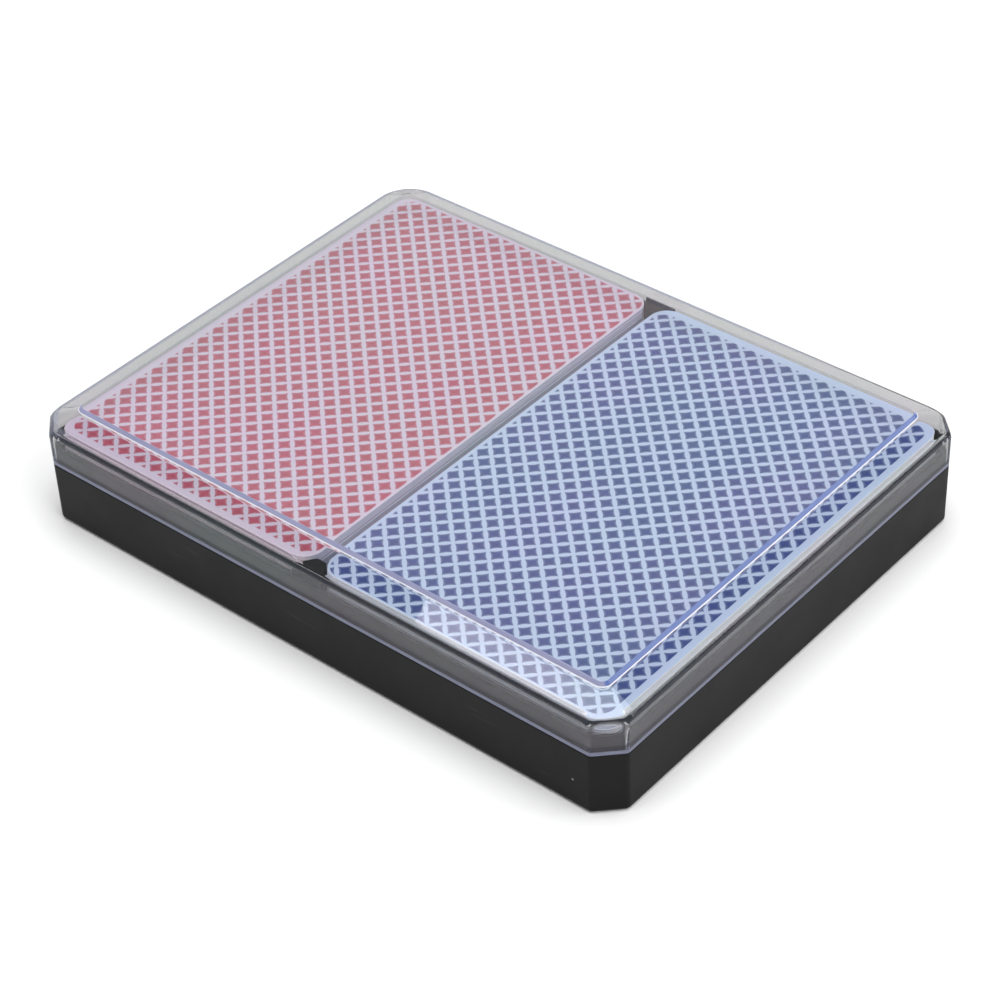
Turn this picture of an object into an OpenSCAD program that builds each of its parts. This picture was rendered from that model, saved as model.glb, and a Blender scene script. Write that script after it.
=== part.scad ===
// Twin case for two decks of bridge-size playing cards: a tray, a clear lift-off lid
// and two decks lying side by side, backs up. Millimetres, +Z up, origin at the
// middle of the underside. X runs across the two decks, Y along the cards.

/* [Case] */
// Height of the closed case
case_h = 21; // [20.6:0.1:24]

/* [Cards] */
// Width of a card, along X
card_w = 57; // [56:0.5:64]
// Length of a card, along Y
card_l = 88; // [84:0.5:92]
// Radius of a card's corners
card_r = 3.5; // [3.4:0.1:5]
// Height that each card adds to a deck
card_pitch = 0.285; // [0.26:0.005:0.3]
// Air between one card and the next
card_air = 0.02; // [0.015:0.005:0.03]

/* [Layout] */
// Gap between the two decks
deck_gap = 2.4; // [2:0.1:3]
// Play between a deck's outer long edge and the tray
side_play = 0.85; // [0.5:0.05:1.5]
// Play between a deck's short edges and the tray
end_play = 0.85; // [0.7:0.05:1.5]

/* [Corners] */
// Length cut off each side at the flat corners, at the outer wall
corner_cut = 4.1; // [3.6:0.1:4.2]
// Rounding of the upright edges beside the flat corners
edge_r = 1.2; // [0.6:0.1:1.6]
// Length cut off each side at the corners of the tray's cavity
cavity_cut = 2.6; // [2.3:0.1:2.7]

/* [Tray] */
// Thickness of the floor
floor_t = 1.4; // [1:0.1:2]
// Height of the outer wall, up to the ledge that carries the lid
ledge_z = 11.6; // [10:0.1:12]
// Height of the inner rim above the ledge
rim_h = 3.4; // [2.5:0.1:3.8]
// Thickness of the inner rim
rim_t = 0.8; // [0.7:0.05:1.2]
// Rounding of the bottom edge
foot_r = 0.9; // [0.5:0.1:1.5]
// Thickness of the low rib between the decks
rib_t = 1.4; // [0.8:0.1:1.5]
// Height of that rib above the floor
rib_h = 9; // [4:0.5:10]
// Height of the top of the posts at the rib's ends, which fill the space between the
// decks' rounded corners
post_z = 16.4; // [14:0.1:16.6]
// How far the posts reach in between the decks
post_l = 2.2; // [1.5:0.1:2.5]

/* [Lid] */
// Thickness of the lid's upright wall
lid_wall = 1; // [0.9:0.05:1.4]
// Clearance between the lid's wall and the tray's rim
lid_fit = 0.15; // [0.1:0.05:0.25]
// Clearance between the lid's edge and the ledge
lid_seat = 0.05; // [0.03:0.01:0.1]
// Radius of the shoulder above the wall, outside
shoulder_r = 1.6; // [1.2:0.1:2.6]
// Radius of the same shoulder inside
shoulder_inner_r = 0.3; // [0.2:0.05:0.8]
// Rounding of the upright edges at the crown of the shoulder
crown_r = 7; // [1.2:0.1:8]
// Slope of the sloping border, in degrees
border_slope = 20; // [16:1:24]
// Distance from the outer wall to the raised middle panel
panel_inset = 5.8; // [5:0.1:6.4]
// Width of the small step round the panel
step_w = 0.6; // [0.4:0.1:1]
// Height of that step
step_h = 0.6; // [0.3:0.05:0.7]
// Thickness of the sloping border
border_t = 0.8; // [0.7:0.05:1.2]
// Thickness of the panel, whose ceiling runs out flat until it meets the border's
panel_t = 1.45; // [1.2:0.05:1.7]

/* [Hidden] */
edge_steps = 3;
foot_steps = 4;
shoulder_steps = 6;
rim_ease = 0.2;
least_cut = 0.3;
least_r = 0.3;
merge = 0.2;
post_lean = 35;
post_play = 0.35;

card_t = card_pitch - card_air;
deck_x = deck_gap / 2 + card_w / 2;

// Insets of the tray's and lid's walls from the case's outer wall
lid_inner = lid_wall;
rim_outer = lid_inner + lid_fit;
cavity = rim_outer + rim_t;
case_l = 2 * card_w + deck_gap + 2 * (side_play + cavity);
case_w = card_l + 2 * (end_play + cavity);
rim_z = ledge_z + rim_h;

// Insets and heights down the lid's profile, outside and then inside
shoulder_turn = 90 - border_slope;
border_end_d = panel_inset - step_w;
border_end_z = case_h - step_h;
border_d = shoulder_r * (1 - cos(shoulder_turn));
border_z = border_end_z - (border_end_d - border_d) * tan(border_slope);
wall_z = border_z - shoulder_r * sin(shoulder_turn);
inner_border_d = lid_inner + shoulder_inner_r * (1 - cos(shoulder_turn));
inner_border_z = border_z + (inner_border_d - border_d) * tan(border_slope)
    - border_t / cos(border_slope);
inner_wall_z = inner_border_z - shoulder_inner_r * sin(shoulder_turn);
ceiling_z = case_h - panel_t;
ceiling_d = inner_border_d + (ceiling_z - inner_border_z) / tan(border_slope);

// The cards of one deck from the bottom up, as packets of neighbours: name and count
SUITS = ["clubs", "diamonds", "hearts", "spades"];
RANKS = [["ace", 1], ["two_to_ten", 9], ["jack", 1], ["queen", 1], ["king", 1]];
PACKETS = concat(
    [for (s = SUITS) for (r = RANKS) [str(r[0], "_of_", s), r[1]]],
    [["first_joker", 1], ["second_joker", 1]]
);
// Each deck's name, its side of the case and its colour
DECKS = [["red", -1, "indianred"], ["blue", 1, "steelblue"]];

// How many cards lie under packet i
function cards_under(i) = i == 0 ? 0 : cards_under(i - 1) + PACKETS[i - 1][1];

// A corner's cut and the rounding beside it, at inset d from the outer wall
function cut_at(d) = max(corner_cut - d * (2 - sqrt(2)), least_cut);
function round_at(d) = max(edge_r - d, least_r);

// The lid's rounding at inset d and height z: as round_at on the wall, and growing over the
// shoulder to that of the crown, as far as the flat corner is wide enough for it
function lid_round(d, z) =
    let (
        share = min(max((z - wall_z) / (border_z - wall_z), 0), 1),
        eased = share * share * (3 - 2 * share),
        crown = max(crown_r - d, least_r),
        widest = 0.95 * cut_at(d) / (sqrt(2) * tan(22.5))
    )
    min(round_at(d) + (crown - round_at(d)) * eased, widest);

// The eight corners of the case's plan at inset d, with cut c
function corners(d, c) = let (x = case_l / 2 - d, y = case_w / 2 - d) [
    [x, y - c], [x - c, y], [c - x, y], [-x, y - c],
    [-x, c - y], [c - x, -y], [x - c, -y], [x, c - y]
];

// That plan with every corner rounded to radius r, counterclockwise
function outline(d, c, r) = [
    for (i = [0:7])
        let (
            a = 45 * i,
            toward = [cos(a) + cos(a + 45), sin(a) + sin(a + 45)] / (1 + cos(45)),
            centre = corners(d, c)[i] - r * toward
        )
        for (k = [0:edge_steps])
            let (t = a + 45 * k / edge_steps)
            centre + r * [cos(t), sin(t)]
];

// Rings of the tray's and of the lid's plan: inset, height, corner cut and edge rounding
function ring(d, z) = [d, z, cut_at(d), round_at(d)];
function lid_ring(d, z) = [d, z, cut_at(d), lid_round(d, z)];

// A closed shell whose skin passes through the rings in order, capped at both ends
module loft(rings) {
    outlines = [for (g = rings) [for (p = outline(g[0], g[2], g[3])) [p[0], p[1], g[1]]]];
    n = len(outlines[0]);
    last = len(rings) - 1;
    sides = [
        for (i = [0:last - 1])
            for (j = [0:n - 1])
                [i * n + j, (i + 1) * n + j, (i + 1) * n + (j + 1) % n, i * n + (j + 1) % n]
    ];
    bottom = [for (j = [0:n - 1]) j];
    top = [for (j = [n - 1:-1:0]) last * n + j];
    polyhedron([for (o = outlines) each o], concat(sides, [bottom, top]), convexity = 6);
}

// Half the width of a post at distance y outside the ends of the decks, so that its flank
// leans past the deck's corner at a distance of post_play
function post_x(y) = deck_gap / 2 + card_r
    - (card_r + post_play - (card_r + y) * sin(post_lean)) / cos(post_lean);

// The post at the +Y end of the rib, rooted in the tray's floor and wall
module post() {
    root = end_play + merge;
    translate([0, card_l / 2, floor_t - merge])
        linear_extrude(post_z - floor_t + merge)
            polygon([
                [-post_x(root), root], [-post_x(-post_l), -post_l],
                [post_x(-post_l), -post_l], [post_x(root), root]
            ]);
}

module tray() color("#2b2b2e") {
    foot = [
        for (k = [0:foot_steps])
            let (t = 90 * k / foot_steps)
            ring(foot_r * (1 - sin(t)), foot_r * (1 - cos(t)))
    ];
    rim = [
        ring(0, ledge_z),
        ring(rim_outer, ledge_z),
        ring(rim_outer, rim_z - rim_ease),
        ring(rim_outer + rim_ease, rim_z)
    ];
    hollow = [
        [cavity, rim_z, cavity_cut, least_r],
        [cavity, floor_t, cavity_cut, least_r]
    ];
    loft(concat(foot, rim, hollow));
    translate([0, 0, floor_t - merge + (rib_h + merge) / 2])
        cube([rib_t, case_w - 2 * cavity + 2 * merge, rib_h + merge], center = true);
    for (turn = [0, 180])
        rotate(turn) post();
}

module lid() color("lightsteelblue", 0.35) {
    inside = [
        lid_ring(ceiling_d, ceiling_z),
        lid_ring(inner_border_d, inner_border_z),
        for (k = [1:shoulder_steps])
            let (t = shoulder_turn * (1 - k / shoulder_steps))
            lid_ring(
                lid_inner + shoulder_inner_r * (1 - cos(t)),
                inner_wall_z + shoulder_inner_r * sin(t)
            ),
        lid_ring(lid_inner, ledge_z + lid_seat)
    ];
    outside = [
        lid_ring(0, ledge_z + lid_seat),
        for (k = [0:shoulder_steps])
            let (t = shoulder_turn * k / shoulder_steps)
            lid_ring(shoulder_r * (1 - cos(t)), wall_z + shoulder_r * sin(t)),
        lid_ring(border_end_d, border_end_z),
        lid_ring(panel_inset, case_h)
    ];
    loft(concat(inside, outside));
}

// One card, lying on the plane z = 0
module card() {
    linear_extrude(card_t) {
        square([card_w - 2 * card_r, card_l], center = true);
        square([card_w, card_l - 2 * card_r], center = true);
        for (x = [-1, 1])
            for (y = [-1, 1])
                translate([x * (card_w / 2 - card_r), y * (card_l / 2 - card_r)])
                    circle(card_r, $fn = 64);
    }
}

// Packet i of a deck: its cards are separate solids, one above another
module packet(deck, i) {
    first = cards_under(i);
    color(deck[2])
        for (k = [first:first + PACKETS[i][1] - 1])
            translate([deck[1] * deck_x, 0, floor_t + card_air + k * card_pitch])
                card();
}

tray();
lid();
for (d = DECKS)
    for (i = [0:len(PACKETS) - 1])
        packet(d, i);
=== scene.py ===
"""A twin case of playing cards: black tray, clear lift-off lid, a red-backed and a blue-backed
deck. The object's lengths are in millimetres and meet a mesh through MM. Materials measure in
metres, except in a card's own plane, where they measure in millimetres. Bumps, lamps and the
floor are in metres."""

import math
import random

import bmesh
import bpy
from mathutils import Matrix, Vector


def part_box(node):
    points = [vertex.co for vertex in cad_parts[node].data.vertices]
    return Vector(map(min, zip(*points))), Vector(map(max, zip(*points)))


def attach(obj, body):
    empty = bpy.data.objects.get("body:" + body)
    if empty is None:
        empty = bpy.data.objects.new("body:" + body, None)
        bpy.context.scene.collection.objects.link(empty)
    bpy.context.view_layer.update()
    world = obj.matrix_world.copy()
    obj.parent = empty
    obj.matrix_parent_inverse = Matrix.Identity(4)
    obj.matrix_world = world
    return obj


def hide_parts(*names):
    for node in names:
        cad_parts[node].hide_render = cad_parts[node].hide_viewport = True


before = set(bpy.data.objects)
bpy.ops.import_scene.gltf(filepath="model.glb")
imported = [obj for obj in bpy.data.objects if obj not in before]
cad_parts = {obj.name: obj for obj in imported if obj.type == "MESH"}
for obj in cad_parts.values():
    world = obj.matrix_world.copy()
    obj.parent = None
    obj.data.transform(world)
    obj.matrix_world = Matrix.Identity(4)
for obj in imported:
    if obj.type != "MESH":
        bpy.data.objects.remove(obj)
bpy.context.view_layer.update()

MM = 0.001

# The case's plan: an oblong with its four corners cut flat
CORNER_CUT = 4.1
CAVITY_CUT = 2.6
EDGE_R = 1.2
LEAST_R = 0.3
LEAST_CUT = 0.3
EDGE_STEPS = 6

# The tray's walls, as insets from the case's outer wall, and heights
LEDGE_Z = 11.6
RIM_Z = 15.0
RIM_INSET = 1.15
CAVITY_INSET = 1.95
FLOOR_T = 1.4
FOOT_R = 0.9
RIB_T = 1.4
RIB_H = 9.0
RIB_EASE = 0.56
POST_ROOT_X = 3.19
POST_TIP_X = 0.91
POST_DEPTH = 3.25
POST_SUNK = 0.2
POST_EASE = 0.15

# The lid's profile
LID_WALL = 1.0
BORDER_T = 0.8
PANEL_T = 1.45
BORDER_SLOPE = math.radians(20)
PANEL_INSET = 5.8
STEP_W = 0.6
STEP_H = 0.6
SHOULDER_R = 1.6
SHOULDER_INNER_R = 0.3
LIP_R = 0.2
LIP_H = 0.85
CROWN_R = 7.0
# The most of a flat corner's width that the crown's rounding takes up, and how far below the
# step's foot the step's own faces begin
CROWN_SHARE = 0.95
STEP_DIP = 0.06

# The cards
CARD_T = 0.265
CARD_PITCH = 0.285
CARD_R = 3.5
CARD_EASE = 0.05
CARD_CORNER_STEPS = 9
CARD_SHIFT_X = 0.07
CARD_SHIFT_Y = 0.12
CARD_TURN = 0.05
MARGIN = 1.0
LATTICE_PITCH = 2.62
WEAVE_PITCH = 0.6

low_tray, high_tray = (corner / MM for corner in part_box("tray"))
low_lid, high_lid = (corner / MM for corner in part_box("lid"))
HALF_L = high_tray.x
HALF_W = high_tray.y
POST_Z = high_tray.z
LID_Z = low_lid.z
CASE_H = high_lid.z


# ---------------------------------------------------------------- meshes

SHARP_ANGLE = math.radians(32)
# How far off a height or an inset a point may be, and still count as lying there
NEAR = 0.1


def make_object(name, mesh):
    piece = bpy.data.objects.new(name, mesh)
    bpy.context.scene.collection.objects.link(piece)
    return piece


def shade(piece):
    """Smooth faces, sharp where two meet at more than SHARP_ANGLE, and flat faces kept flat."""
    bm = bmesh.new()
    bm.from_mesh(piece.data)
    bmesh.ops.recalc_face_normals(bm, faces=bm.faces)
    for face in bm.faces:
        face.smooth = True
    for edge in bm.edges:
        edge.smooth = len(edge.link_faces) == 2 and edge.calc_face_angle() < SHARP_ANGLE
    bm.to_mesh(piece.data)
    bm.free()
    weighted = piece.modifiers.new("flat_faces", "WEIGHTED_NORMAL")
    weighted.keep_sharp = True
    return piece


def finish_mesh(bm, name):
    """The piece made of bm's mesh, shaded."""
    mesh = bpy.data.meshes.new(name)
    bm.to_mesh(mesh)
    bm.free()
    return shade(make_object(name, mesh))


def rounded(points, steps=6):
    """The open line through points (inset, height, radius), each corner between the first and
    the last one rounded to its radius."""
    line = [points[0][:2]]
    for before, here, after in zip(points, points[1:], points[2:]):
        p = Vector(here[:2])
        u = (Vector(before[:2]) - p).normalized()
        v = (Vector(after[:2]) - p).normalized()
        half = u.angle(v) / 2
        radius = here[2]
        if radius <= 0:
            line.append(tuple(p))
            continue
        centre = p + (u + v).normalized() * (radius / math.sin(half))
        start = p + u * (radius / math.tan(half)) - centre
        end = p + v * (radius / math.tan(half)) - centre
        turn = start.angle(end)
        for k in range(steps + 1):
            t = k / steps
            arm = (start * math.sin((1 - t) * turn) + end * math.sin(t * turn)) / math.sin(turn)
            line.append(tuple(centre + arm))
    line.append(points[-1][:2])
    return line


def cut_at(d):
    """How much a flat corner cuts off each side, where all walls are d inside the outer one."""
    return max(CORNER_CUT - d * (2 - math.sqrt(2)), LEAST_CUT)


def outline(d, cut, radius):
    """The case's plan at inset d, counterclockwise, its eight corners rounded to radius."""
    x, y = HALF_L - d, HALF_W - d
    corners = [
        (x, y - cut), (x - cut, y), (cut - x, y), (-x, y - cut),
        (-x, cut - y), (cut - x, -y), (x - cut, -y), (x, cut - y),
    ]
    ring = []
    for i, corner in enumerate(corners):
        a = math.radians(45 * i)
        b = a + math.radians(45)
        toward = Vector((math.cos(a) + math.cos(b), math.sin(a) + math.sin(b)))
        centre = Vector(corner) - toward * (radius / (1 + math.cos(b - a)))
        for k in range(EDGE_STEPS + 1):
            t = a + (b - a) * k / EDGE_STEPS
            ring.append(centre + Vector((math.cos(t), math.sin(t))) * radius)
    return ring


def edge_round(d, z):
    """The rounding of the upright edges beside the flat corners at inset d, at any height z."""
    return max(EDGE_R - d, LEAST_R)


def loft(name, profile, cut_rule=cut_at, round_rule=edge_round):
    """A closed shell whose skin passes through the profile's points (inset, height) in order."""
    bm = bmesh.new()
    rings = []
    for d, z in profile:
        plan = outline(d, cut_rule(d), round_rule(d, z))
        rings.append([bm.verts.new(Vector((p.x, p.y, z)) * MM) for p in plan])
    n = len(rings[0])
    for lower, upper in zip(rings, rings[1:]):
        for j in range(n):
            k = (j + 1) % n
            bm.faces.new((lower[j], lower[k], upper[k], upper[j]))
    bm.faces.new(reversed(rings[0]))
    bm.faces.new(rings[-1])
    return finish_mesh(bm, name)


def faces_out(face):
    """Whether a face of the tray or the lid turns away from the case's middle."""
    return face.normal.x * face.center.x + face.normal.y * face.center.y > 0


# ---------------------------------------------------------------- node helpers

class Nodes:
    """Short calls for building the node tree of a new material or world."""

    def __init__(self, owner):
        owner.use_nodes = True
        self.owner = owner
        self.tree = owner.node_tree
        self.tree.nodes.clear()

    def add(self, kind, **settings):
        node = self.tree.nodes.new(kind)
        for key, value in settings.items():
            setattr(node, key, value)
        return node

    def feed(self, socket, value):
        if isinstance(value, bpy.types.NodeSocket):
            self.tree.links.new(value, socket)
        else:
            socket.default_value = value

    def point(self):
        return self.add("ShaderNodeTexCoord").outputs["Object"]

    def normal(self):
        return self.add("ShaderNodeTexCoord").outputs["Normal"]

    def card_point(self):
        """Millimetres from the card's centre, in the card's own plane."""
        return self.add("ShaderNodeUVMap", uv_map="card_mm").outputs[0]

    def ray(self, kind):
        return self.add("ShaderNodeLightPath").outputs[kind]

    def math(self, operation, a, b=0.0, c=0.0):
        node = self.add("ShaderNodeMath", operation=operation)
        for socket, value in zip(node.inputs, (a, b, c)):
            self.feed(socket, value)
        return node.outputs[0]

    def vector(self, operation, a, b=(0, 0, 0)):
        node = self.add("ShaderNodeVectorMath", operation=operation)
        self.feed(node.inputs[0], a)
        self.feed(node.inputs[1], b)
        return node.outputs["Value" if operation in ("LENGTH", "DOT_PRODUCT") else "Vector"]

    def split(self, a):
        node = self.add("ShaderNodeSeparateXYZ")
        self.feed(node.inputs[0], a)
        return node.outputs

    def ramp(self, value, low, high, start=0.0, end=1.0):
        """value, eased from start at low to end at high."""
        node = self.add("ShaderNodeMapRange", interpolation_type="SMOOTHSTEP")
        for socket, number in zip(node.inputs, (value, low, high, start, end)):
            self.feed(socket, number)
        return node.outputs[0]

    def mix(self, factor, a, b):
        node = self.add("ShaderNodeMix", data_type="RGBA")
        self.feed(node.inputs["Factor"], factor)
        self.feed(node.inputs["A"], a)
        self.feed(node.inputs["B"], b)
        return node.outputs["Result"]

    def mix_shaders(self, factor, a, b):
        node = self.add("ShaderNodeMixShader")
        for socket, value in zip(node.inputs, (factor, a, b)):
            self.feed(socket, value)
        return node.outputs[0]

    def noise(self, at, scale, detail=2.0, roughness=0.5):
        node = self.add("ShaderNodeTexNoise")
        self.feed(node.inputs["Vector"], at)
        self.feed(node.inputs["Scale"], scale)
        self.feed(node.inputs["Detail"], detail)
        self.feed(node.inputs["Roughness"], roughness)
        return node.outputs["Fac"]

    def cells(self, at, scale):
        """Distance to the nearest of a set of random points, and a random colour for each."""
        node = self.add("ShaderNodeTexVoronoi")
        self.feed(node.inputs["Vector"], at)
        self.feed(node.inputs["Scale"], scale)
        return node.outputs["Distance"], node.outputs["Color"]

    def bump(self, height, strength, distance):
        node = self.add("ShaderNodeBump")
        self.feed(node.inputs["Height"], height)
        self.feed(node.inputs["Strength"], strength)
        self.feed(node.inputs["Distance"], distance)
        return node.outputs[0]

    def principled(self, **inputs):
        node = self.add("ShaderNodeBsdfPrincipled")
        for key, value in inputs.items():
            self.feed(node.inputs[key.replace("_", " ")], value)
        return node.outputs[0]

    def finish(self, surface, kind="ShaderNodeOutputMaterial"):
        self.feed(self.add(kind).inputs["Surface"], surface)
        return self.owner


def new_material(name):
    return Nodes(bpy.data.materials.new(name))


def rgb(r, g, b):
    return (r, g, b, 1.0)


# ---------------------------------------------------------------- materials

PLASTIC_IOR = 1.5
CLEAR_IOR = 1.59


def black_plastic(name, shine):
    """Satin black polystyrene: fine moulded grain, a few scuffs and specks of dust."""
    black, scuffed, dust = rgb(0.013, 0.0128, 0.0138), rgb(0.03, 0.03, 0.031), rgb(0.35, 0.34, 0.32)
    n = new_material(name)
    at = n.point()
    grain = n.noise(at, scale=9000)
    mottle = n.noise(at, scale=120, detail=4)
    streak_at = n.vector("MULTIPLY", at, (60, 60, 900))
    streaks = n.ramp(n.noise(streak_at, scale=1.3, detail=3), 0.69, 0.74)
    distance, colour = n.cells(at, scale=260)
    few = n.ramp(n.split(colour)[0], 0.93, 0.94)
    speck = n.math("MULTIPLY", n.ramp(distance, 0.08, 0.03), few)
    base = n.mix(streaks, black, scuffed)
    base = n.mix(n.math("MULTIPLY", speck, 0.8), base, dust)
    satin = n.ramp(mottle, 0.3, 0.7, start=0.3, end=0.4)
    rough = n.math("ADD", satin, n.math("MULTIPLY", streaks, 0.1))
    return n.finish(n.principled(
        Base_Color=base, Roughness=rough, IOR=PLASTIC_IOR, Specular_IOR_Level=shine,
        Normal=n.bump(grain, strength=0.12, distance=0.00003)))


def clear_plastic():
    """Clear polystyrene. Light from lamps and from diffuse surfaces passes straight through. An
    opaque
    grey painted reflection is mixed in: a trace on the wall, and more on the crown of the shoulder
    towards the corner at -X, +Y."""
    greenish, pinkish = rgb(0.965, 0.985, 0.97), rgb(0.985, 0.965, 0.985)
    green_gloss, pink_gloss = rgb(0.8, 1.0, 0.93), rgb(1.0, 0.86, 0.96)
    painted_reflection_colour, shadow_colour = rgb(0.27, 0.29, 0.36), rgb(0.94, 0.95, 0.97)
    crown_from, crown_to = -0.0019, -0.0015
    n = new_material("lid_clear")
    at = n.point()
    flow = n.noise(n.vector("MULTIPLY", at, (1, 1, 3)), scale=55)
    scratch_at = n.vector("MULTIPLY", at, (90, 1400, 400))
    scratches = n.ramp(n.noise(scratch_at, scale=1.1), 0.72, 0.76)
    height = n.math("ADD", flow, n.math("MULTIPLY", scratches, 0.02))
    tint = n.mix(n.ramp(n.noise(at, scale=70, detail=1), 0.35, 0.65), greenish, pinkish)
    gloss = n.mix(n.ramp(n.noise(at, scale=38, detail=1), 0.35, 0.65), green_gloss, pink_gloss)
    glass = n.principled(
        Base_Color=tint, Specular_Tint=gloss, Roughness=0.012, IOR=CLEAR_IOR,
        Transmission_Weight=1.0, Normal=n.bump(height, strength=0.05, distance=0.0006))
    painted_reflection = n.principled(Base_Color=painted_reflection_colour, Roughness=0.25, IOR=CLEAR_IOR)

    up = n.split(n.normal())[2]
    x, y, _ = n.split(at)
    out_x = n.math("SUBTRACT", n.math("ABSOLUTE", x), HALF_L * MM)
    out_y = n.math("SUBTRACT", n.math("ABSOLUTE", y), HALF_W * MM)
    half_root = math.sqrt(0.5)
    out_cut = n.math("MULTIPLY_ADD", n.math("ADD", out_x, out_y), half_root,
                     CORNER_CUT * MM * half_root)
    outward = n.math("MAXIMUM", n.math("MAXIMUM", out_x, out_y), out_cut)
    # Painted reflection: an opaque grey layer on the shoulder's crown at the far side, and faintly
    # on the wall
    crown = n.math("MULTIPLY", n.ramp(up, 0.45, 0.62), n.ramp(outward, crown_from, crown_to))
    far = n.ramp(n.math("SUBTRACT", y, x), 0.0, 0.03, end=0.8)
    wall = n.ramp(up, 0.3, 0.1, end=0.05)
    surface = n.mix_shaders(n.math("MULTIPLY_ADD", crown, far, wall), glass, painted_reflection)

    clear = n.add("ShaderNodeBsdfTransparent")
    n.feed(clear.inputs["Color"], shadow_colour)
    for kind in ("Is Diffuse Ray", "Is Shadow Ray"):
        surface = n.mix_shaders(n.ray(kind), surface, clear.outputs[0])
    return n.finish(surface)


def painted_piped_light():
    """Painted light on the lid's step and lower lip: tones and a weak glow stand in for light that
    runs along inside the plastic and comes out there, which is not traced. The step has a painted
    white highlight at its foot and is lavender above, bluer along the long way. The lip is greyer."""
    # Painted light colours: the white highlight, and the glowing tones of the step near and far and
    # of the lip
    white = rgb(0.92, 0.92, 0.97)
    near_tones = rgb(0.31, 0.32, 0.51), rgb(0.43, 0.44, 0.63)
    far_tones = rgb(0.08, 0.14, 0.42), rgb(0.15, 0.22, 0.52)
    lip_tones = rgb(0.22, 0.24, 0.35), rgb(0.30, 0.32, 0.45)
    foot = (CASE_H - STEP_H) * MM
    n = new_material("lid_edge_painted_light")
    at = n.point()
    z = n.split(at)[2]
    across, along, _ = n.split(n.vector("ABSOLUTE", n.normal()))
    long_way = n.ramp(n.math("SUBTRACT", across, along), -0.1, 0.3)
    tone = n.noise(n.vector("MULTIPLY", at, (1, 1, 4)), scale=260, detail=3)
    near, far, lip = (n.mix(tone, *tones) for tones in (near_tones, far_tones, lip_tones))
    on_step = n.ramp(z, foot - 0.0006, foot - 0.0004)
    body = n.mix(on_step, lip, n.mix(long_way, near, far))
    # Painted highlight: white along the step's foot
    painted_highlight_at_foot = n.math("MULTIPLY", on_step, n.ramp(z, foot + 0.00012, foot + 0.00005))
    colour = n.mix(painted_highlight_at_foot, body, white)
    # Painted glow: the colour is also given off weakly, though the lid is no lamp
    return n.finish(n.principled(
        Base_Color=colour, Roughness=n.ramp(tone, 0.3, 0.7, start=0.1, end=0.2), IOR=CLEAR_IOR,
        Transmission_Weight=0.25, Emission_Color=colour, Emission_Strength=0.05,
        Normal=n.bump(tone, strength=0.1, distance=0.0001)))


def lattice(n, x, y):
    """How white the card's back is at x, y: 1 on the beads of a diagonal lattice, 0 in its cells,
    with a pale halo beside each bead. x and y are in millimetres from the lattice's centre."""
    bead_least, bead_swell, bead_edge = 0.095, 0.065, 0.03
    halo_from, halo_to, halo_share = 0.16, 0.02, 0.22
    half_root = math.sqrt(0.5) / LATTICE_PITCH
    along = [
        n.math("MULTIPLY", n.math("ADD", x, y), half_root),
        n.math("MULTIPLY", n.math("SUBTRACT", x, y), half_root),
    ]
    strands, halos = [], []
    for across, run in (along, along[::-1]):
        cell = n.math("FRACT", n.math("ADD", across, 0.5))
        off = n.math("ABSOLUTE", n.math("SUBTRACT", cell, 0.5))
        wave = n.math("ABSOLUTE", n.math("SINE", n.math("MULTIPLY", run, math.pi)))
        half_width = n.math("MULTIPLY_ADD", n.math("POWER", wave, 1.2), bead_swell, bead_least)
        edge = n.math("SUBTRACT", off, half_width)
        strands.append(n.ramp(edge, bead_edge, -bead_edge))
        halos.append(n.math("MULTIPLY", n.ramp(edge, halo_from, halo_to), wave))
    white = n.math("MAXIMUM", *strands)
    halo = n.math("MAXIMUM", *halos)
    return n.math("MAXIMUM", white, n.math("MULTIPLY", halo, halo_share))


def card_back(name, ink, paper, half_size, print_at, lattice_at):
    """Coated card back: a white bead lattice on ink, inside a narrow white margin. print_at and
    lattice_at say how far off the card's centre the printed field and its lattice lie."""
    half_w, half_l = half_size
    inner_r = CARD_R - MARGIN
    print_edge = 0.04
    n = new_material(name)
    at = n.card_point()
    x, y, _ = n.split(at)
    printed = n.vector("SUBTRACT", at, (*print_at, 0))
    reach = n.vector("SUBTRACT", n.vector("ABSOLUTE", printed),
                     (half_w - MARGIN - inner_r, half_l - MARGIN - inner_r, 0))
    corner = n.vector("LENGTH", n.vector("MAXIMUM", reach, (0, 0, 0)))
    inside = n.ramp(corner, inner_r + print_edge, inner_r - print_edge)
    lattice_x, lattice_y = lattice_at
    white = lattice(n, n.math("SUBTRACT", x, lattice_x), n.math("SUBTRACT", y, lattice_y))
    inked = n.math("MULTIPLY", inside, n.math("SUBTRACT", 1.0, white))
    press = n.noise(at, scale=0.9, detail=3)
    thin, thick = (rgb(*(c * share for c in ink)) for share in (0.9, 1.08))
    ink_colour = n.mix(n.ramp(press, 0.3, 0.7), thin, thick)
    colour = n.mix(inked, rgb(*paper), ink_colour)
    weave = [n.math("SINE", n.math("MULTIPLY", c, 2 * math.pi / WEAVE_PITCH)) for c in (x, y)]
    bumped = n.bump(n.math("MULTIPLY", *weave), strength=0.1, distance=0.00001)
    rough = n.math("MULTIPLY_ADD", press, 0.1, 0.28)
    return n.finish(n.principled(
        Base_Color=colour, Roughness=rough, IOR=PLASTIC_IOR, Normal=bumped))


def card_front():
    """The plain white coated face of a card."""
    n = new_material("card_face")
    at = n.card_point()
    tone = n.noise(at, scale=0.4, detail=3)
    colour = n.mix(tone, rgb(0.84, 0.84, 0.82), rgb(0.88, 0.88, 0.87))
    bumped = n.bump(n.noise(at, scale=3.0), strength=0.08, distance=0.00001)
    return n.finish(n.principled(
        Base_Color=colour, Roughness=0.3, IOR=PLASTIC_IOR, Normal=bumped))


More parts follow.
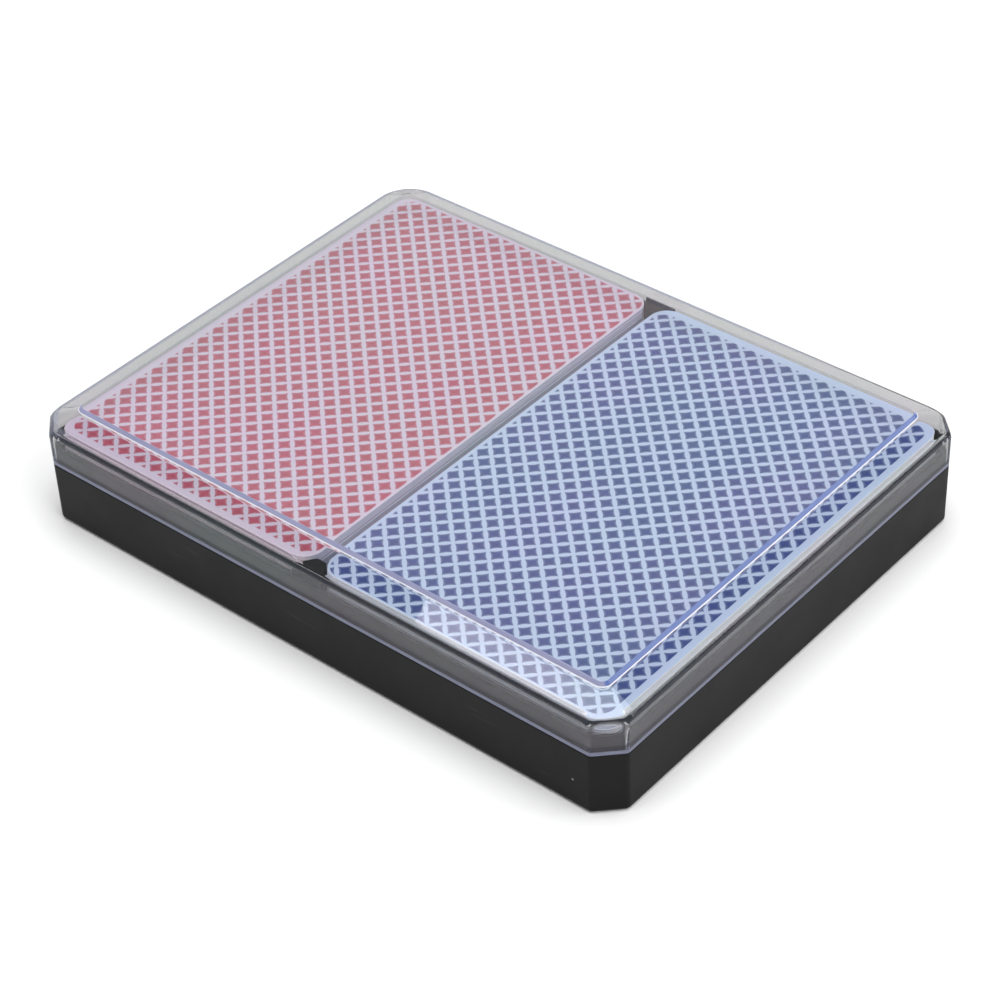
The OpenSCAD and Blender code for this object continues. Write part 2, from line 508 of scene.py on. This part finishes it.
def card_side(name, tint, long_side_shade):
    """The cut edge of the cards: white stock, stained a little by the ink of the backs. The long
    edges take a painted shade colour, given per deck; on the red deck it is also a painted
    reflection of the blue deck."""
    stock = rgb(0.86, 0.85, 0.90)
    n = new_material(name)
    across = n.split(n.vector("ABSOLUTE", n.normal()))[0]
    tone = n.add("ShaderNodeAttribute", attribute_name="tone").outputs["Fac"]
    fibre = n.noise(n.vector("MULTIPLY", n.point(), (1, 1, 6)), scale=2500, detail=3)
    stain = n.math("MULTIPLY", n.math("ADD", tone, n.ramp(fibre, 0.4, 0.75)), 0.5)
    short = n.mix(stain, stock, rgb(*tint))
    # Painted shade on the long edges
    long = n.mix(n.math("MULTIPLY", stain, 0.3), rgb(*long_side_shade), rgb(*tint))
    colour = n.mix(n.ramp(across, 0.5, 0.95), short, long)
    return n.finish(n.principled(
        Base_Color=colour, Roughness=0.65, IOR=1.45,
        Normal=n.bump(fibre, strength=0.3, distance=0.00003)))


# ---------------------------------------------------------------- tray

def tray_cut(d):
    """The cavity's corners are cut less than the walls outside them, so the wall thins there."""
    if d <= RIM_INSET:
        return cut_at(d)
    share = (d - RIM_INSET) / (CAVITY_INSET - RIM_INSET)
    return cut_at(RIM_INSET) + (CAVITY_CUT - cut_at(RIM_INSET)) * min(share, 1)


def make_tray(materials):
    """The tray's shell, in the first of the materials, and its cavity in the second. The ends of
    the profile only carry the underside and the floor inwards."""
    tray = loft("tray_shell", rounded([
        (FOOT_R + 0.6, 0, 0),
        (0, 0, FOOT_R),
        (0, LEDGE_Z, 0.15),
        (RIM_INSET, LEDGE_Z, 0.08),
        (RIM_INSET, RIM_Z, 0.25),
        (CAVITY_INSET, RIM_Z, 0.2),
        (CAVITY_INSET, FLOOR_T, 0.12),
        (CAVITY_INSET + 0.5, FLOOR_T, 0),
    ]), tray_cut)
    for material in materials:
        tray.data.materials.append(material)
    for face in tray.data.polygons:
        inset = min(HALF_L * MM - abs(face.center.x), HALF_W * MM - abs(face.center.y))
        deep = inset > (CAVITY_INSET - NEAR / 2) * MM and face.center.z > FOOT_R * MM
        face.material_index = 1 if deep and not faces_out(face) else 0
    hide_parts("tray")
    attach(tray, "tray")


def make_rib(material):
    """The low rib that keeps the decks apart, its top rounded over."""
    length = 2 * (HALF_W - CAVITY_INSET)
    bm = bmesh.new()
    bmesh.ops.create_cube(bm, size=1)
    bmesh.ops.scale(bm, vec=Vector((RIB_T, length, RIB_H)) * MM, verts=bm.verts)
    bmesh.ops.translate(bm, vec=Vector((0, 0, FLOOR_T + RIB_H / 2)) * MM, verts=bm.verts)
    top = [e for e in bm.edges
           if all(v.co.z > (FLOOR_T + RIB_H - NEAR) * MM for v in e.verts)
           and abs(e.verts[0].co.y - e.verts[1].co.y) > MM]
    bmesh.ops.bevel(bm, geom=top, offset=RIB_EASE * MM, segments=5, affect="EDGES", profile=0.5)
    rib = finish_mesh(bm, "tray_rib")
    rib.data.materials.append(material)
    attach(rib, "tray")


def make_post(name, side, material):
    """The post at one end of the rib, its flanks leaning past the decks' rounded corners."""
    root = HALF_W - CAVITY_INSET + POST_SUNK
    ends = [(POST_ROOT_X, root), (POST_TIP_X, root - POST_DEPTH)]
    plan = [(-x, y) for x, y in ends] + [(x, y) for x, y in reversed(ends)]
    bm = bmesh.new()
    rings = [[bm.verts.new(Vector((x * side, y * side, z)) * MM) for x, y in plan]
             for z in (FLOOR_T, POST_Z)]
    bm.faces.new(rings[0])
    bm.faces.new(rings[1][::-1])
    for j in range(len(plan)):
        k = (j + 1) % len(plan)
        bm.faces.new((rings[0][k], rings[0][j], rings[1][j], rings[1][k]))
    rim = [e for e in bm.edges if all(v.co.z > (POST_Z - NEAR) * MM for v in e.verts)]
    tips = [e for e in bm.edges if e.verts[0].co.z != e.verts[1].co.z]
    bmesh.ops.bevel(bm, geom=rim + tips, offset=POST_EASE * MM, segments=3, affect="EDGES",
                    profile=0.5)
    post = finish_mesh(bm, name)
    post.data.materials.append(material)
    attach(post, "tray")


# ---------------------------------------------------------------- lid

def lid_round(d, z):
    """As edge_round on the wall, growing over the shoulder to the crown's, as far as the flat
    corner is wide enough for it."""
    share = min(max((z - WALL_Z) / (CROWN_Z - WALL_Z), 0), 1)
    eased = share * share * (3 - 2 * share)
    plain = edge_round(d, z)
    crown = max(CROWN_R - d, LEAST_R)
    widest = CROWN_SHARE * cut_at(d) / (math.sqrt(2) * math.tan(math.radians(22.5)))
    return min(plain + (crown - plain) * eased, widest)


def border_at(d):
    """Height of the sloping border's outer face at inset d."""
    return CASE_H - STEP_H + (d - PANEL_INSET + STEP_W) * math.tan(BORDER_SLOPE)


SHOULDER_TURN = math.radians(90) - BORDER_SLOPE
CROWN_Z = border_at(SHOULDER_R * (1 - math.cos(SHOULDER_TURN)))
WALL_Z = CROWN_Z - SHOULDER_R * math.sin(SHOULDER_TURN)


def make_lid(materials):
    """The lid's shell, in the first of the materials, with its step and lip in the second. The
    ends of the profile only carry the panel's two faces inwards."""
    drop = BORDER_T / math.cos(BORDER_SLOPE)
    ceiling = CASE_H - PANEL_T
    ceiling_d = PANEL_INSET - STEP_W + (ceiling + drop - CASE_H + STEP_H) / math.tan(BORDER_SLOPE)
    lid = loft("lid_shell", rounded([
        (ceiling_d + 1, ceiling, 0),
        (ceiling_d, ceiling, 0.5),
        (LID_WALL, border_at(LID_WALL) - drop, SHOULDER_INNER_R),
        (LID_WALL, LID_Z, 0.12),
        (0, LID_Z, LIP_R),
        (0, LID_Z + LIP_H, 0),
        (0, border_at(0), SHOULDER_R),
        (PANEL_INSET - STEP_W, CASE_H - STEP_H, 0.25),
        (PANEL_INSET, CASE_H, 0.15),
        (PANEL_INSET + 0.6, CASE_H, 0),
    ], steps=8), round_rule=lid_round)
    for material in materials:
        lid.data.materials.append(material)
    foot_z = (CASE_H - STEP_H - STEP_DIP) * MM
    level = math.cos(math.radians(4))
    for face in lid.data.polygons:
        on_step = face.normal.z < level and face.center.z > foot_z
        on_lip = faces_out(face) and face.center.z < (LID_Z + LIP_H) * MM
        if on_step or on_lip:
            face.material_index = 1
    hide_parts("lid")
    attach(lid, "lid")


# ---------------------------------------------------------------- cards

def card_outline(half_w, half_l, inset):
    """A card's rounded plan, counterclockwise, drawn in by inset."""
    radius = CARD_R - inset
    points = []
    for quarter, (sx, sy) in enumerate(((1, 1), (-1, 1), (-1, -1), (1, -1))):
        centre = Vector((sx * (half_w - CARD_R), sy * (half_l - CARD_R)))
        for k in range(CARD_CORNER_STEPS + 1):
            t = math.radians(90) * (quarter + k / CARD_CORNER_STEPS)
            points.append(centre + Vector((math.cos(t), math.sin(t))) * radius)
    return points


def add_card(bm, uv, tone, half_w, half_l, place, tone_value):
    """One card with eased edges. Its underside is the face, its top the back."""
    on_back, on_side, on_face = 0, 1, 2
    levels = ((0, CARD_EASE), (CARD_EASE, 0), (CARD_T - CARD_EASE, 0), (CARD_T, CARD_EASE))
    rings = []
    for z, inset in levels:
        ring = []
        for p in card_outline(half_w, half_l, inset):
            vert = bm.verts.new(place @ (Vector((p.x, p.y, z)) * MM))
            vert[tone] = tone_value
            ring.append((vert, p))
        rings.append(ring)
    n = len(rings[0])
    faces = []
    for lower, upper in zip(rings, rings[1:]):
        for j in range(n):
            k = (j + 1) % n
            faces.append(([lower[j], lower[k], upper[k], upper[j]], on_side))
    faces.append((rings[0][::-1], on_face))
    faces.append((rings[-1], on_back))
    for loop, material_index in faces:
        face = bm.faces.new([vert for vert, _ in loop])
        face.material_index = material_index
        for corner, (_, p) in zip(face.loops, loop):
            corner[uv].uv = p


def half_box(node):
    """Half the width and half the length of a CAD node's box."""
    low, high = (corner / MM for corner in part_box(node))
    return (high.x - low.x) / 2, (high.y - low.y) / 2


def make_packet(node, body, materials):
    """All the cards of one CAD node, each a little out of line with the next."""
    low, high = (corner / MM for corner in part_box(node))
    half_w, half_l = half_box(node)
    count = round((high.z - low.z) / CARD_PITCH)
    bm = bmesh.new()
    uv = bm.loops.layers.uv.new("card_mm")
    tone = bm.verts.layers.float.new("tone")
    for k in range(count):
        shift_x = random.uniform(-CARD_SHIFT_X, CARD_SHIFT_X)
        shift_y = random.uniform(-CARD_SHIFT_Y, CARD_SHIFT_Y)
        middle = Vector(((low.x + high.x) / 2 + shift_x, shift_y, low.z + k * CARD_PITCH))
        turn = Matrix.Rotation(math.radians(random.uniform(-CARD_TURN, CARD_TURN)), 4, "Z")
        place = Matrix.Translation(middle * MM) @ turn
        add_card(bm, uv, tone, half_w, half_l, place, random.random())
    packet = finish_mesh(bm, node + "_cards")
    for material in materials:
        packet.data.materials.append(material)
    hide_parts(node)
    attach(packet, body)


# ---------------------------------------------------------------- studio

FLOOR_HALF = 4.0
FLOOR_Z = -0.00005
FLOOR_SEEN = 0.92
FLOOR_BACK = 0.45
FLOOR_FRONT = 0.5

WORLD_SEEN = 0.95
WORLD_DIM = 0.2
WORLD_BRIGHT = 1.05
BRIGHT_WAY = (-0.663, 0.749, 0.0)

# Soft lamps, all aimed at the origin: name, place, size, power, and whether the plastic
# mirrors the lamp
LAMPS = (
    ("softbox", (0, 0, 0.95), (1.1, 1.0), 9.0, True),
    ("back_right", (0.76, 0.70, 0.62), (0.8, 0.8), 4.0, True),
    ("right", (1.0, -0.1, 0.8), (0.7, 0.7), 5.0, False),
    ("front", (-0.35, -1.1, 0.45), (0.9, 0.6), 4.0, False),
)

CAMERA_AZIMUTH = math.radians(41.496)
CAMERA_ELEVATION = math.radians(38.748)
CAMERA_ROLL = math.radians(-2.575)
CAMERA_DISTANCE = 460.18
CAMERA_LENS = 99.96
CAMERA_SENSOR = 36
CAMERA_AIM = Vector((3.455, -3.379, 5.815))


def area_light(name, place, size, power, mirrored):
    data = bpy.data.lights.new(name, "AREA")
    data.shape = "RECTANGLE"
    data.size, data.size_y = size
    data.energy = power
    lamp = bpy.data.objects.new(name, data)
    lamp.location = place
    lamp.rotation_euler = (-Vector(place)).to_track_quat("-Z", "Y").to_euler()
    lamp.visible_glossy = mirrored
    lamp.visible_transmission = mirrored
    bpy.context.scene.collection.objects.link(lamp)


def make_floor():
    """A flat white floor. Seen in the plastic, it is a shade darker than it looks around the object.
    """
    front_y, back_y = -0.052, -0.045
    mesh = bpy.data.meshes.new("floor")
    corners = ((-1, -1), (1, -1), (1, 1), (-1, 1))
    mesh.from_pydata([(x * FLOOR_HALF, y * FLOOR_HALF, FLOOR_Z) for x, y in corners],
                     [], [(0, 1, 2, 3)])
    floor = make_object("floor", mesh)
    n = new_material("floor_white")
    at = n.point()
    mirrored = n.ramp(n.split(at)[1], front_y, back_y, start=FLOOR_FRONT, end=FLOOR_BACK)
    white = n.ramp(n.ray("Is Camera Ray"), 0.0, 1.0, start=mirrored, end=FLOOR_SEEN)
    patchy = n.ramp(n.noise(at, scale=8), 0.3, 0.7, start=0.99)
    tone = n.math("MULTIPLY", white, patchy)
    grey = n.add("ShaderNodeCombineColor")
    for socket in grey.inputs[:3]:
        n.feed(socket, tone)
    floor.data.materials.append(n.finish(n.principled(
        Base_Color=grey.outputs[0], Roughness=0.9, Specular_IOR_Level=0.1)))


def make_world():
    """A studio whose far side is a bright sweep and whose near side is dim."""
    world = bpy.data.worlds.new("studio")
    bpy.context.scene.world = world
    n = Nodes(world)
    way = n.add("ShaderNodeTexCoord").outputs["Generated"]
    facing = n.vector("DOT_PRODUCT", way, BRIGHT_WAY)
    bright = n.ramp(facing, 0.4, 0.95, start=WORLD_DIM, end=WORLD_BRIGHT)
    strength = n.add("ShaderNodeMix", data_type="FLOAT")
    n.feed(strength.inputs["Factor"], n.ray("Is Camera Ray"))
    n.feed(strength.inputs["A"], bright)
    n.feed(strength.inputs["B"], WORLD_SEEN)
    background = n.add("ShaderNodeBackground")
    n.feed(background.inputs["Strength"], strength.outputs["Result"])
    n.finish(background.outputs[0], "ShaderNodeOutputWorld")


def make_camera():
    data = bpy.data.cameras.new("camera")
    data.lens = CAMERA_LENS
    data.sensor_width = CAMERA_SENSOR
    camera = bpy.data.objects.new("camera", data)
    tilt = Matrix.Rotation(math.radians(90) - CAMERA_ELEVATION, 4, "X")
    swing = Matrix.Rotation(CAMERA_AZIMUTH, 4, "Z")
    roll = Matrix.Rotation(CAMERA_ROLL, 4, "Z")
    turn = swing @ tilt @ roll
    back = turn @ Vector((0, 0, 1))
    camera.matrix_world = Matrix.Translation((CAMERA_AIM + back * CAMERA_DISTANCE) * MM) @ turn
    bpy.context.scene.collection.objects.link(camera)
    bpy.context.scene.camera = camera


# ---------------------------------------------------------------- the scene

# Each deck's colours, and where its top card's printed field and lattice lie
DECKS = {
    "red": {
        "ink": (0.36, 0.045, 0.085),
        "paper": (0.53, 0.46, 0.55),
        "side_tint": (0.66, 0.44, 0.52),
        # Painted shade of the gap between the decks on the long edges, with a painted reflection of
        # the blue deck
        "long_side_shade": (0.33, 0.41, 0.57),
        "print_at": (0.5, 0.35),
        "lattice_at": (-0.1, 1.1),
    },
    "blue": {
        "ink": (0.012, 0.035, 0.18),
        "paper": (0.41, 0.49, 0.65),
        "side_tint": (0.66, 0.70, 0.78),
        # Painted shade on the long edges, a little darker than the stock
        "long_side_shade": (0.80, 0.80, 0.80),
        "print_at": (-0.3, -0.6),
        "lattice_at": (1.1, 0.75),
    },
}

random.seed(54)
make_camera()
make_world()
make_floor()
for lamp in LAMPS:
    area_light(*lamp)

outer_plastic = black_plastic("tray_black", shine=0.2)
# Painted shade: the cavity, rib and posts get a copy whose reflections are turned almost off, so
# they look darker, as in shade
shaded_inner_plastic = black_plastic("tray_black_inside_shaded", shine=0.02)
make_tray((outer_plastic, shaded_inner_plastic))
make_rib(shaded_inner_plastic)
make_post("tray_post_back", 1, shaded_inner_plastic)
make_post("tray_post_front", -1, shaded_inner_plastic)
make_lid((clear_plastic(), painted_piped_light()))

front = card_front()
for deck, look in DECKS.items():
    nodes = [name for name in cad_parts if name.startswith(deck + "_")]
    back = card_back(deck + "_back", look["ink"], look["paper"], half_box(nodes[0]),
                     look["print_at"], look["lattice_at"])
    side = card_side(deck + "_card_edge", look["side_tint"], look["long_side_shade"])
    for name in sorted(nodes):
        make_packet(name, deck + "_deck", (back, side, front))

bpy.context.scene.view_settings.view_transform = "Standard"
